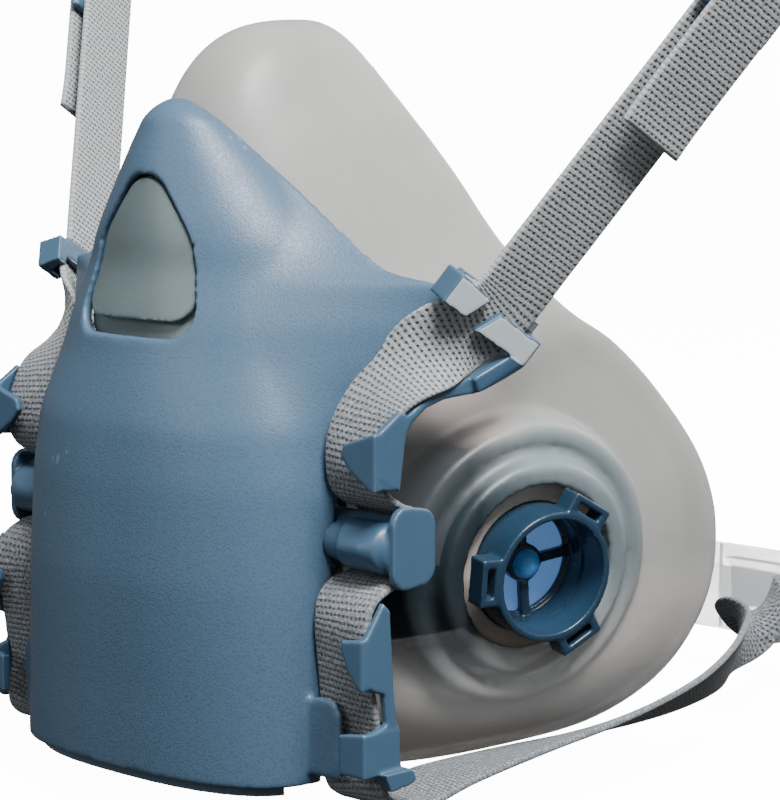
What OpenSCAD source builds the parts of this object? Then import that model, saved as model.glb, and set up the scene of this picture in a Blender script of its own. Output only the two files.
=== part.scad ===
// Half-mask respirator with a silicone face seal, a front cover, two bayonet
// filter ports and an elastic drop-down head harness.
// Millimetres. +Z is up, -Y is the front, +X is the wearer's left.
// The origin is the centre of the face opening.

/* [Face seal] */
// Wall thickness of the silicone
seal_wall = 2; // [1.6:0.1:2.4]
// Width of the flange that is turned inwards at the rim
flange_w = 9; // [6:0.5:11]
// Furthest point of the seal's nose plate in front of the origin
seal_front = 72; // [70:0.5:73]

/* [Front cover] */
// Wall thickness of the cover
cover_wall = 2.2; // [1.8:0.1:2.4]
// Height of the cover's bottom edge, below the origin
cover_drop = 59.5; // [57:0.5:61]

/* [Filter ports] */
// Outer radius of the bayonet ring
port_r = 11.85; // [11.6:0.05:12]
// Inner radius of the bayonet ring
port_bore_r = 10.5; // [10:0.1:10.7]
// Depth of the bore down to the seat for a filter's spigot
port_bore_l = 6.6; // [6:0.1:6.8]
// Number of spokes behind the bayonet ring
port_spokes = 4; // [3:1:6]

/* [Harness] */
// Width of the elastic webbing
webbing_w = 14.5; // [13:0.5:14.5]
// Thickness of the elastic webbing
webbing_t = 1.3; // [1:0.1:1.4]
// Gap around the webbing where it runs through a guide
webbing_gap = 0.35; // [0.25:0.05:0.4]

/* [Hidden] */
$fn = 64;

blue = [0.40, 0.53, 0.63];
silicone = [0.70, 0.70, 0.68];
webbing_grey = [0.55, 0.57, 0.59];

// ---------- helpers ----------

// Cubic through p1 and p2, with p0 and p3 setting the slopes.
function spline(p0, p1, p2, p3, t) =
    0.5 * (2 * p1 + (p2 - p0) * t
        + (2 * p0 - 5 * p1 + 4 * p2 - p3) * t * t
        + (3 * p1 - p0 - 3 * p2 + p3) * t * t * t);

// A smooth open curve through the rows of a list, in steps points a span.
function open_curve(p, steps) =
    let (n = len(p))
    [for (i = [0 : n - 2], k = [0 : steps - 1])
        spline(p[max(i - 1, 0)], p[i], p[i + 1], p[min(i + 2, n - 1)], k / steps),
     p[n - 1]];

// The same for a closed curve.
function closed_curve(p, steps) =
    let (n = len(p))
    [for (i = [0 : n - 1], k = [0 : steps - 1])
        spline(p[(i + n - 1) % n], p[i], p[(i + 1) % n], p[(i + 2) % n], k / steps)];

// Value of a table's column c at height z, by straight lines between rows.
function table(rows, z, c) =
    let (i = max([for (k = [0 : len(rows) - 2]) if (z >= rows[k][0]) k, 0]))
    let (t = (z - rows[i][0]) / (rows[i + 1][0] - rows[i][0]))
    rows[i][c] + (rows[i + 1][c] - rows[i][c]) * min(max(t, 0), 1);

function unit(v) = v / norm(v);
function flat(lists) = [for (l = lists) each l];

function middle(ring) = let (ones = [for (p = ring) 1]) ones * ring / len(ring);

// A solid through closed rings of points, each end closed by a fan. Seen from
// the last ring, the points of a ring go anticlockwise.
module loft(rings) {
    n = len(rings[0]);
    last = len(rings) - 1;
    points = [each flat(rings), middle(rings[0]), middle(rings[last])];
    first_hub = len(points) - 2;
    last_hub = len(points) - 1;
    sides = [
        for (i = [0 : last - 1], k = [0 : n - 1])
            let (a = i * n + k, b = i * n + (k + 1) % n)
            each [[a, a + n, b + n], [a, b + n, b]]
    ];
    ends = [
        for (k = [0 : n - 1])
            let (m = (k + 1) % n)
            each [[first_hub, k, m], [last_hub, last * n + m, last * n + k]]
    ];
    polyhedron(points, [each sides, each ends], convexity = 10);
}

// Joins freeform pieces as one mesh, at the size they already have.
module as_one_mesh() {
    resize([0, 0, 0]) union() children();
}

// A flat band along rows of [x, y, z, wx, wy, wz]: the middle of the band and
// the direction of its width.
function band_ring(rows, i, w, t) =
    let (a = rows[max(i - 1, 0)], b = rows[min(i + 1, len(rows) - 1)])
    let (along = unit([b.x - a.x, b.y - a.y, b.z - a.z]))
    let (raw = [rows[i][3], rows[i][4], rows[i][5]])
    let (across = unit(raw - along * (raw * along)))
    let (up = cross(along, across))
    let (c = [rows[i].x, rows[i].y, rows[i].z])
    [c + across * w / 2 + up * t / 2, c - across * w / 2 + up * t / 2,
     c - across * w / 2 - up * t / 2, c + across * w / 2 - up * t / 2];

module band(rows, w, t) {
    loft([for (i = [0 : len(rows) - 1]) band_ring(rows, i, w, t)]);
}

// A plate standing across X, from x0 to x1, with its outline in Y and Z.
module slab(outline, x0, x1) {
    translate([x0, 0, 0]) rotate([90, 0, 90]) linear_extrude(x1 - x0) polygon(outline);
}

// A plate standing across Y, from y0 to y1 (y0 < y1), with its outline in X and Z.
module front_slab(outline, y0, y1) {
    translate([0, y1, 0]) rotate([90, 0, 0]) linear_extrude(y1 - y0) polygon(outline);
}

module both_sides() {
    children();
    mirror([1, 0, 0]) children();
}

// ---------- face seal ----------

// The rim on the left half, from the nose to the chin: x, y, z and how square
// the wall is between the rim and the nose plate.
rim_half = [
    [0, -37, 72.6, 3.3], [9, -35.5, 69.5, 3.3], [17, -29.5, 58, 3.1],
    [23.5, -23, 46, 2.9], [31, -17, 32, 2.6], [39, -9, 20.5, 2.4],
    [44.5, -1, 13.5, 2.3], [50, 6, 3.5, 2.2], [54, 13, -9, 2.15],
    [55, 16.5, -22, 2.15], [54, 15, -36, 2.2], [48.5, 10, -49, 2.5],
    [38.5, 3, -58.5, 2.9], [23, -2.5, -65, 3.2], [8, -8, -68, 3.3], [0, -9, -68.5, 3.3]
];
rim_all = [
    for (i = [0 : len(rim_half) - 1])
        [-rim_half[i][0], rim_half[i][1], rim_half[i][2], rim_half[i][3]],
    for (i = [len(rim_half) - 2 : -1 : 1]) rim_half[i]
];
rim = closed_curve(rim_all, 2);
seal_mid_z = -8;

// A point of the wall: p is a rim row, a runs from 0 at the rim to 90 at the
// middle of the nose plate, and grow is how far outside the wall it lies.
function wall_point(p, a, grow) =
    let (q = pow(cos(a), 2 / p[3]), f = pow(sin(a), 2 / p[3]))
    let (away = unit([p[0], p[2] - seal_mid_z]))
    let (r = [p[0], p[2] - seal_mid_z] + away * grow)
    [r[0] * q, p[1] - (seal_front + p[1] + grow) * f, seal_mid_z + r[1] * q];

// A ring of the wall at the angle a.
function wall_ring(a, grow) = [for (p = rim) wall_point(p, a, grow)];

// A ring of the turned-in flange: s is the distance in from the rim and back
// the distance behind it.
function flange_ring(s, back) = [
    for (p = rim)
        let (away = unit([p[0], p[2] - seal_mid_z]))
        [p[0] - away[0] * s, p[1] + back, p[2] - away[1] * s]
];

wall_steps = [0, 8, 18, 28, 38, 48, 58, 67, 75, 82, 88];

module seal_shell() {
    outer = [for (a = wall_steps) wall_ring(a, 0)];
    inner = [for (k = [len(wall_steps) - 1 : -1 : 1]) wall_ring(wall_steps[k], -seal_wall)];
    lip = [
        flange_ring(seal_wall, -0.2),
        flange_ring(flange_w, 1.2),
        flange_ring(flange_w + 0.4, 2.2),
        flange_ring(flange_w, 3),
        flange_ring(seal_wall, 1.6),
        flange_ring(0.5, 1)
    ];
    loft([each [for (k = [0 : len(inner) - 1]) inner[k]], each lip, each outer]);
}

// The seal's outside as a solid block, for trimming what lies against it.
module seal_block(grow) {
    loft([
        flange_ring(-grow, 12),
        each [for (a = wall_steps) wall_ring(a, grow)]
    ]);
}

// ---------- filter port frame ----------

port_mouth = [58, -32, -25];
port_yaw = -14.05;
port_dip = 7;

// Moves to the mouth of the left port, with Z pointing out of it.
module at_port() {
    translate(port_mouth) rotate([0, 0, port_yaw]) rotate([0, 90 + port_dip, 0])
        rotate([0, 0, 90]) children();
}

boss_top = -5;
boss_step = -8.4;
boss_floor = -11.9;
recess_floor = -9;
boss_r = 24.6;
boss_inner_r = 19.5;
recess_r = 15.4;
port_hole_r = 12;

module boss_outside() {
    rotate_extrude() polygon([
        [0, -17], [boss_r + 2.5, -17], [boss_r + 1.2, boss_step - 1.2], [boss_r - 0.6, boss_step],
        [boss_inner_r + 0.8, boss_step], [boss_inner_r, boss_top - 0.8],
        [boss_inner_r - 0.8, boss_top], [0, boss_top]
    ]);
}

module boss_inside() {
    translate([0, 0, -40]) cylinder(r = boss_r - 1.8, h = 40 + boss_floor);
    translate([0, 0, -20]) cylinder(r = port_hole_r, h = 40);
    translate([0, 0, recess_floor]) cylinder(r = recess_r, h = 20);
}

exhale_z = -32;
exhale_hole_r = 16;

module face_seal() {
    color(silicone) difference() {
        union() {
            seal_shell();
            both_sides() at_port() boss_outside();
            // Thick flat ring round the hole in the nose plate
            translate([0, -62, exhale_z]) rotate([90, 0, 0]) cylinder(r = 20.4, h = 10.1);
        }
        both_sides() at_port() boss_inside();
        translate([0, -60, exhale_z]) rotate([90, 0, 0]) cylinder(r = exhale_hole_r, h = 30);
        translate([0, -60, exhale_z]) rotate([90, 0, 0]) cylinder(r = 18.5, h = 9.8);
    }
}

// ---------- front cover ----------

// Sections of the cover: height, half width, middle, depth and squareness of
// the front arc, the angle where the arc ends, and where the wing behind it ends.
cover_rows = [
    [-61, 35.6, -68, 18, 2.6, 90, 35.9, -67.4], [-45, 35.8, -67, 18.9, 2.55, 90, 36.1, -66.4],
    [-25, 35.8, -66, 20.2, 2.45, 90, 36.1, -65.4], [-8, 35.6, -64.8, 20.8, 2.4, 86, 36.3, -64],
    [2, 34.8, -63.4, 21.4, 2.35, 74, 37.6, -61.6], [9, 33.4, -61.6, 21.7, 2.2, 62, 42, -57.2],
    [14, 32.2, -60.4, 21.8, 2.1, 55, 48.4, -52], [20, 31, -58.8, 22.4, 2.05, 51, 50, -51.4],
    [27.4, 28.9, -56.2, 23.2, 2, 50, 50, -51.4], [28.8, 28.4, -55.8, 23.3, 2, 53, 41, -54.6],
    [31, 27.6, -55.8, 23.1, 2, 60, 37, -55.8], [36.4, 25.2, -56, 22.6, 2, 70, 29, -56.4],
    [41.3, 20.8, -57.6, 19.8, 2, 80, 22, -57], [48, 15, -61.4, 14.6, 2, 90, 15.3, -61],
    [54, 9.6, -65, 9, 2, 90, 9.8, -64.8], [58.6, 4.6, -68.6, 4.2, 2, 90, 4.7, -68.5]
];
cover_levels = [
    -59.5, -45, -30, -18, -8, 0, 5, 9, 12, 14, 18, 23, 27.4, 28.8, 31, 34, 37.5, 41.3, 45,
    48, 51, 54, 56.5, 58.6
];
arc_slices = 9;
wing_slices = 4;

// A point of the front arc at the angle a.
function arc_point(z, a, inset) =
    let (w = max(table(cover_rows, z, 1) - inset, 0.3))
    let (d = max(table(cover_rows, z, 3) - inset, 0.3))
    let (e = 2 / table(cover_rows, z, 4))
    [w * pow(sin(a), e), table(cover_rows, z, 2) - d * pow(cos(a), e)];

// The left half of a level section, from the middle to the wing's end, inset
// from the outside and carried on by more.
function half_section(z, inset, more) =
    let (a = table(cover_rows, z, 5))
    let (tip = [table(cover_rows, z, 6), table(cover_rows, z, 7)])
    let (along = unit(tip - arc_point(z, a, 0)))
    let (p = arc_point(z, a, inset))
    let (q = p + unit(p - arc_point(z, a - 3, inset)) * 0.45 * norm(tip - p))
    let (r = tip + inset * [-along.y, along.x])
    [for (k = [0 : arc_slices]) arc_point(z, a * k / arc_slices, inset),
     for (k = [1 : wing_slices])
        let (t = k / wing_slices) (1 - t) * (1 - t) * p + 2 * t * (1 - t) * q + t * t * r,
     r + along * more];

// One level section of the cover, with its open back carried on by back.
function cover_section(z, inset, back) =
    let (half = half_section(z, inset, back < 1 ? back + 0.05 : 3))
    let (tip = half[len(half) - 1])
    [[-tip.x, tip.y + back + 0.05],
     for (k = [len(half) - 1 : -1 : 1]) [-half[k].x, half[k].y],
     each half,
     [tip.x, tip.y + back + 0.05]];

// The cover's outside as a solid, inset all round and stopping short of the top.
module cover_block(inset, back, drop, short) {
    levels = [for (z = cover_levels) min(z, cover_levels[len(cover_levels) - 1] - short)];
    loft([
        for (k = [0 : len(levels) - 1])
            let (z = k == 0 ? -drop : levels[k] + k * 0.001)
            [for (p = cover_section(z, inset, back)) [p[0], p[1], z]]
    ]);
}

// The window's outline, a rounded triangle, grown by g.
module window_outline(g) {
    hull() {
        translate([0, 38.4]) circle(r = 7 + g, $fn = 32);
        for (s = [-1, 1]) {
            translate([s * 4.6, 31]) circle(r = 7.9 + g, $fn = 32);
            translate([s * 10.2, 21.6]) circle(r = 4.5 + g, $fn = 32);
        }
    }
}

module window_prism(g) {
    translate([0, -62, 0]) rotate([90, 0, 0]) linear_extrude(30) window_outline(g);
}

// The lip on the cover that keeps the webbing's inner edge in place.
module cover_lip() {
    front_slab([[32, -57.5], [43, -57.5], [43.4, -46], [41.8, -43.6], [38, -43.4], [32, -45]],
        -70.8, -69.4);
}

module front_cover() {
    color(blue) as_one_mesh() difference() {
        union() {
            difference() {
                cover_block(0, 0, cover_drop, 0);
                cover_block(cover_wall, 5, cover_drop + 5, 5);
            }
            both_sides() cover_lip();
        }
        window_prism(0);
        seal_block(0.4);
        both_sides() strap_room();
    }
}

module window_pad() {
    color([0.55, 0.60, 0.59]) as_one_mesh() intersection() {
        difference() {
            cover_block(0.5, 0, 40, 0);
            cover_block(3.8, 8, 45, 4.5);
            // What lies behind the cover's wall is left wider, as a flange
            difference() {
                cover_block(-1, 2, 42, -1);
                window_prism(-0.5);
                cover_block(cover_wall + 0.3, 2, 44, 4.2);
            }
        }
        window_prism(1.6);
    }
}

// ---------- centre adapter and exhalation valve ----------

adapter_y = -72.4;
seat_r = 14;

module center_adapter() {
    color([0.32, 0.43, 0.53]) difference() {
        union() {
            // Plate in front of the seal
            translate([0, adapter_y, 0]) rotate([90, 0, 0]) linear_extrude(2.2)
                hull() for (s = [-1, 1]) {
                    translate([s * 15, -48]) circle(r = 6, $fn = 32);
                    translate([s * 12, 2]) circle(r = 6, $fn = 32);
                }
            // Neck through the seal's hole and the flange inside
            translate([0, adapter_y - 4.6, exhale_z]) rotate([-90, 0, 0])
                cylinder(r = seat_r + 1.6, h = 10);
            translate([0, -69.6, exhale_z]) rotate([-90, 0, 0])
                cylinder(r = seat_r + 4.2, h = 1.8);
            // Lower rim that closes the bottom of the cover
            as_one_mesh() translate([0, 0, -61.4]) linear_extrude(7) difference() {
                polygon(cover_section(-58, cover_wall + 0.5, 0));
                polygon(cover_section(-58, cover_wall + 2.3, 5));
                translate([-40, -73]) square([80, 20]);
            }
            for (x = [-14, 13])
                translate([x, -82.4, -58]) cube([1.6, 10, 8]);
        }
        translate([0, -90, exhale_z]) rotate([-90, 0, 0]) cylinder(r = seat_r, h = 40);
    }
}

module exhalation_seat() {
    color([0.32, 0.43, 0.53]) translate([0, -75.4, exhale_z]) rotate([-90, 0, 0]) {
        difference() {
            cylinder(r = seat_r - 0.05, h = 2);
            translate([0, 0, -1]) cylinder(r = seat_r - 2, h = 4);
        }
        for (a = [0 : 60 : 300]) rotate([0, 0, a]) translate([-0.8, 2, 0.6]) cube([1.6, 10.8, 1.1]);
        translate([0, 0, 0.4]) cylinder(r = 3, h = 1.5);
        translate([0, 0, -3.4]) cylinder(r = 1.3, h = 4);
        translate([0, 0, -4.2]) cylinder(r = 2.3, h = 0.9);
    }
}

module exhalation_flap() {
    color([0.85, 0.84, 0.78]) translate([0, -76.3, exhale_z]) rotate([-90, 0, 0])
        difference() {
            cylinder(r = seat_r - 1, h = 0.8);
            translate([0, 0, -1]) cylinder(r = 1.6, h = 3);
        }
}

// ---------- filter ports ----------

hub_z = -11.8;
lug_w = 8.6;
lug_reach = 15;

module bayonet_lug() {
    difference() {
        translate([port_bore_r + 0.6, -lug_w / 2, -4.6])
            cube([lug_reach - port_bore_r - 0.6, lug_w, 4.4]);
        translate([port_r + 0.5, -lug_w / 2 + 1.6, -5])
            cube([lug_reach - port_r - 1.7, lug_w - 3.2, 6]);
    }
}

module filter_port() {
    color(blue) at_port() {
        difference() {
            union() {
                translate([0, 0, -13.6]) cylinder(r = port_r, h = 13.6);
                translate([0, 0, -13.6]) cylinder(r = port_hole_r + 3.6, h = 1.6);
                for (a = [60 : 120 : 300]) rotate([0, 0, a]) bayonet_lug();
            }
            translate([0, 0, -port_bore_l]) cylinder(r = port_bore_r, h = 20);
            translate([0, 0, -20]) cylinder(r = port_bore_r - 0.3, h = 20);
        }
        difference() {
            translate([0, 0, hub_z]) cylinder(r = port_bore_r + 0.2, h = 1);
            translate([0, 0, hub_z - 1]) cylinder(r = port_bore_r - 1.2, h = 3);
        }
        difference() {
            union() {
                for (k = [0 : port_spokes - 1])
                    rotate([0, 0, 8 + 360 * k / port_spokes])
                        translate([2, -0.9, hub_z + 0.2]) cube([port_bore_r - 1.8, 1.8, 1.7]);
                translate([0, 0, hub_z]) cylinder(r = 3.5, h = 2.3);
            }
            translate([0, 0, hub_z - 1]) cylinder(r = 1.5, h = 6);
        }
    }
}

module port_gasket() {
    color([0.66, 0.57, 0.49]) at_port() translate([0, 0, recess_floor + 0.05])
        difference() {
            cylinder(r = recess_r - 0.15, h = 1.2);
            translate([0, 0, -1]) cylinder(r = port_r + 0.1, h = 4);
        }
}

module valve_post() {
    color([0.33, 0.60, 0.85]) at_port() {
        translate([0, 0, hub_z - 3.4]) cylinder(r = 1.35, h = 6);
        translate([0, 0, hub_z - 3.9]) cylinder(r = 2.4, h = 0.9);
        translate([0, 0, hub_z + 2.35]) intersection() {
            scale(0.9) translate([0, 0, -0.4]) sphere(r = 3.1);
            cylinder(r = 3, h = 4);
        }
    }
}

module inhalation_flap() {
    color([0.72, 0.80, 0.90]) at_port() translate([0, 0, hub_z - 0.85])
        difference() {
            cylinder(r = port_bore_r - 0.6, h = 0.8);
            translate([0, 0, -1]) cylinder(r = 1.65, h = 3);
        }
}

// ---------- webbing ----------

// Directions of the upper run: along it, across it and out of its face.
run_at = [56.3, -43, 24.4];
run_along = unit([27, 28, 51]);
run_across = unit(cross(unit([0.901, -0.291, -0.317]), run_along) * -1);
run_out = cross(run_across, run_along);

// A row of the upper run, s up from the guide and n out from its middle.
function run_row(s, n) =
    let (p = run_at + run_along * s + run_out * n)
    [p.x, p.y, p.z, run_across.x, run_across.y, run_across.z];

fold_s = 74;
fold_r = 1.9;
tail_s = 36.5;

// The webbing's middle from its folded tail down to the guide.
upper_rows = [
    run_row(tail_s, 2 * fold_r + 0.5),
    run_row(tail_s + 8, 2 * fold_r),
    run_row(fold_s - 6, 2 * fold_r),
    for (a = [0 : 30 : 180])
        run_row(fold_s + fold_r * sin(a), fold_r * (1 + cos(a))),
    run_row(fold_s - 6, 0),
    run_row(40, 0),
    run_row(20, 0),
    run_row(8, 0),
    run_row(0, 0)
];

// Round the guide's hooks and bars, and along under the port.
guide_rows = [
    [54.1, -46.5, 21.2, 0.15, 0.85, -0.51], [50.8, -51.6, 18.2, 0.4, 0.81, -0.43],
    [47.2, -57.6, 13.2, 0.9, 0.4, -0.14], [44.8, -63, 8, 0.99, 0.14, 0.05],
    [44, -66.2, 2.6, 1, 0.05, 0.05], [43.6, -67.3, -2.8, 1, -0.08, 0],
    [43.5, -65.9, -7.2, 1, -0.05, 0], [43.4, -62.4, -9.9, 1, 0, 0],
    [43.2, -59.6, -10.9, 1, 0, 0], [43, -57.8, -12.8, 1, 0, 0],
    [43, -57.3, -17, 1, 0, 0], [43, -58.2, -21, 1, 0, 0],
    [43.2, -61, -23, 1, 0, 0], [43.4, -65, -23.6, 1, 0, 0],
    [43.5, -68.8, -26, 1, -0.08, 0], [43.6, -70.2, -30.4, 1, -0.12, 0],
    [43.4, -69.6, -36, 1, -0.12, 0], [43.3, -68.4, -43, 1, -0.08, 0],
    [43.4, -67.6, -50, 1, 0, 0], [43.8, -68, -55, 1, 0, 0],
    [44.6, -67, -59.4, 1, 0, 0], [45, -63, -61.8, 1, 0, 0],
    [45.8, -57, -61.6, 1, 0.1, 0], [47.4, -48, -59.4, 0.99, 0.14, 0.05],
    [50, -32, -57.4, 0.98, 0.1, 0.2], [51.8, -12, -56, 0.92, 0.05, 0.38],
    [51, 8, -54.6, 0.8, 0.1, 0.6], [47.4, 24, -53.4, 0.6, 0.15, 0.78],
    [42, 38, -52.2, 0.35, 0.2, 0.92], [37, 47, -50.6, 0.1, 0.3, 0.95],
    [33.6, 52.6, -49, -0.5, 0, 0.85], [31.8, 56.4, -48, -1, -0.2, 0.25],
    [30.6, 60.4, -47.6, -0.85, -0.1, -0.5], [29.4, 65, -47.9, -0.3, 0, -0.95],
    [27.8, 72, -48.9, 0, 0, -1], [27, 80.4, -49.5, 0, 0, -1],
    [29.4, 83, -49.5, 0, 0, -1], [32.6, 83.4, -49.5, 0, 0, -1],
    [35.6, 84.6, -49.5, 0, 0, -1], [36.9, 87.1, -49.5, 0, 0, -1],
    [35.4, 89.6, -49.5, 0, 0, -1], [32.4, 90.2, -49.5, 0, 0, -1],
    [29.4, 89, -49.5, 0, 0, -1], [28.4, 87.1, -49.5, 0, 0, -1],
    [28.6, 85.6, -49.5, 0, 0, -1]
];
strap_rows = open_curve([each upper_rows, each guide_rows], 3);

module strap() {
    color(webbing_grey) band(strap_rows, webbing_w, webbing_t);
}

// The room that a guide leaves for the webbing.
module strap_room() {
    band(strap_rows, webbing_w + 2 * webbing_gap, webbing_t + 2 * webbing_gap);
}

// ---------- strap guides ----------

wall_in = 50.9;
wall_out = 52.4;

// Moves to the upper run's frame: X across the webbing, Y up it, Z out of it.
module on_run() {
    multmatrix([
        [run_across.x, run_along.x, run_out.x, run_at.x],
        [run_across.y, run_along.y, run_out.y, run_at.y],
        [run_across.z, run_along.z, run_out.z, run_at.z],
        [0, 0, 0, 1]
    ]) children();
}

module upper_guide() {
    on_run() {
        // Plate behind the webbing
        translate([-10.4, -4.6, -2.9]) cube([20, 4.6, 1.9]);
        // Upper tab and its web
        translate([0, 0, 1.05]) linear_extrude(1.5)
            polygon([[-12.5, -0.5], [-4.2, -1.2], [-6.6, -6.3], [-12.5, -6.3]]);
        translate([-12.6, -6.2, -2.8]) cube([2.6, 5.6, 5.3]);
        // Lower tab and its web
        translate([0, 0, 1.05]) linear_extrude(1.5)
            polygon([[-0.9, -2.2], [9.6, -2.6], [9.6, -7.2], [-3.4, -7.2]]);
        translate([7.8, -7.3, -2.8]) cube([2.2, 5, 5.2]);
    }
    // Shoulder under the lower tab
    hull() {
        on_run() translate([7.7, -7.5, -2.7]) cube([2.4, 3, 4.9]);
        slab([[-48, 11.2], [-43, 12.4], [-42, 10], [-47, 8.6]], wall_in, 53.6);
    }
    // Rail and hook wall
    slab([
        [-46, 11.4], [-52, 11], [-58, 9.7], [-64, 7.2], [-69.2, 3.9], [-69.8, -4.2],
        [-64.8, -6.9], [-63.4, 2.4], [-62, 4.6], [-58.6, 6.8], [-54, 8], [-46, 8.4]
    ], wall_in, wall_out);
    // Hook lip
    front_slab([
        [52.2, 3.6], [44.6, 1.2], [43.8, -0.8], [46.2, -3.4], [51, -6.4], [52.2, -6.4]
    ], -70.9, -69.4);
    slab([[-69, 3.8], [-70.7, 3.4], [-70.7, -6.1], [-66, -6.5]], wall_in + 0.1, wall_out - 0.1);
    // Bar behind the webbing, back to the spine
    slab([[-65.2, 2.2], [-63.5, 2.2], [-64.5, -4.6], [-66, -4.6]], 31.6, wall_out - 0.1);
    slab([[-65, 2.6], [-61, 3.2], [-60, 0], [-60.6, -4.4], [-63, -5], [-65.4, -2]], 31.6, 44);
}

module middle_guide() {
    // Bar that the webbing folds round
    hull() {
        for (z = [-13.6, -20.2])
            translate([31.6, -61.2, z]) rotate([0, 90, 0]) cylinder(r = 1.9, h = 19, $fn = 32);
        translate([31.6, -64, -17]) rotate([0, 90, 0]) cylinder(r = 3.4, h = 19, $fn = 32);
    }
    hull() {
        translate([40.6, -64.4, -17]) rotate([0, 90, 0]) cylinder(r = 4.4, h = 8.8, $fn = 32);
        translate([41.4, -67, -17]) rotate([0, 90, 0]) cylinder(r = 2.4, h = 5, $fn = 32);
        translate([39, -62.3, -16.8]) rotate([0, 90, 0]) cylinder(r = 4, h = 12.2, $fn = 32);
    }
    // Cap that keeps the webbing on the bar
    hull() {
        for (p = [[-63.2, -12.8], [-63.2, -20.8], [-59.4, -13.4], [-59.4, -20.4]])
            translate([50.8, p.x, p.y]) rotate([0, 90, 0]) cylinder(r = 3.2, h = 1.6, $fn = 32);
    }
}

module lower_guide() {
    // Hook wall, column and foot of the outer side
    slab([
        [-68.8, -25.4], [-73, -31.2], [-73, -39.2], [-71, -40.4], [-68.6, -41.2],
        [-67.9, -46.6], [-72.4, -47.6], [-72.4, -54.8], [-64.6, -54.8], [-65, -50.8],
        [-66.3, -40.8], [-67.2, -26.8]
    ], wall_in, wall_out);
    // Hook lip
    front_slab([
        [52.2, -31.1], [47, -31.8], [46.6, -33.2], [48.2, -36.8], [50.8, -40], [52.2, -40]
    ], -73.8, -72.3);
    // Bar behind the webbing at the hook
    slab([[-68.8, -34], [-67, -34], [-66.6, -41.2], [-68.2, -41.2]], 31.6, wall_out - 0.1);
    // Block in front of and behind the webbing
    front_slab([[46.2, -48.2], [52.3, -47.3], [52.3, -55.1], [46.2, -55.1]], -73.6, -72);
    slab([[-66.8, -46.8], [-65, -46.8], [-64.7, -55.2], [-66.8, -55.2]], 31.7, 52.2);
    slab([[-73.4, -47.5], [-65.1, -47.5], [-64.7, -54.9], [-73.4, -54.9]], 50.8, 52.5);
    // Foot that the webbing wraps under
    slab([[-70, -54.6], [-63.6, -54.4], [-62.4, -56], [-63.2, -57.2], [-68.6, -57.8]],
        wall_in - 0.4, 54);
}

module strap_guide() {
    color(blue) as_one_mesh() difference() {
        union() {
            upper_guide();
            middle_guide();
            lower_guide();
            // Spine inside the cover's rear edge
            slab([[-67, -54.8], [-63.4, -54.8], [-61.6, -30], [-60, 3.4], [-65, 3.4], [-67, -30]],
                31.6, 33);
        }
        strap_room();
        seal_block(0.5);
        cover_room();
    }
}

// The room that the guide leaves for the cover's wall.
module cover_room() {
    difference() {
        cover_block(-0.2, 0.25, cover_drop + 5, 0);
        cover_block(cover_wall + 0.2, 8, cover_drop + 8, 4);
    }
}

// ---------- head cradle and neck clasp ----------

crown_w = 18;
rear_w = 14;
cradle_t = 1.7;

// Middle of the crown band on the left half, from its arm's tip to the top.
function arm_row(s) = run_row(s, fold_r);
crown_half = [
    arm_row(60), arm_row(70), arm_row(79), arm_row(90),
    [97.6, 4, 108, 0.3, 0.85, -0.45], [99, 22, 130, 0.3, 0.9, -0.3],
    [90, 42, 152, 0.3, 0.95, -0.1], [68, 60, 170, 0.15, 0.98, 0],
    [36, 72, 180, 0.05, 1, 0]
];
crown_top = [0, 76, 183, 0, 1, 0];
rear_half = [
    [98.6, 17, 124, 0.2, 0.5, -0.8], [97, 38, 128, 0.2, 0.2, -1],
    [90, 66, 124, 0.1, 0.1, -1], [74, 98, 116, 0.1, 0, -1],
    [44, 124, 110, 0, 0, -1]
];
rear_middle = [0, 134, 108, 0, 0, -1];

// A band's rows on the left half, its middle and the same rows on the right.
function across_head(half, mid) = [
    each half, mid,
    for (i = [len(half) - 1 : -1 : 0])
        let (p = half[i]) [-p[0], p[1], p[2], -p[3], p[4], p[5]]
];

module crown_cradle() {
    color(blue) as_one_mesh() difference() {
        union() {
            band(open_curve(across_head(crown_half, crown_top), 3), crown_w, cradle_t);
            band(open_curve(across_head(rear_half, rear_middle), 3), rear_w, cradle_t);
        }
        both_sides() strap_room();
    }
}

clasp_y = 87.1;
clasp_z = -49.5;
clasp_h = 18.8;

// One half of the clasp: a plate with a slot that leaves an end bar.
module clasp_plate() {
    difference() {
        translate([0.4, clasp_y - 1.1, clasp_z - clasp_h / 2]) cube([34.8, 2.2, clasp_h]);
        strap_room();
        translate([26.8, clasp_y - 3, clasp_z - webbing_w / 2 - 0.4])
            cube([4.2, 6, webbing_w + 0.8]);
    }
}

module neck_clasp_catch() {
    color([0.9, 0.92, 0.93]) {
        clasp_plate();
        // Pocket for the tongue, open towards the hook half
        difference() {
            translate([0.4, clasp_y + 1, clasp_z - 6]) cube([15.6, 3.2, 12]);
            translate([-1, clasp_y + 1.2, clasp_z - 4.2]) cube([15.4, 1.8, 8.4]);
        }
    }
}

module neck_clasp_hook() {
    color([0.9, 0.92, 0.93]) {
        mirror([1, 0, 0]) clasp_plate();
        // Tongue that slides into the pocket
        translate([-6, clasp_y + 1, clasp_z - 3.9]) cube([6, 1.8, 7.8]);
        translate([-2, clasp_y + 1.4, clasp_z - 3.9]) cube([15.6, 1.4, 7.8]);
    }
}

// ---------- nodes ----------

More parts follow.
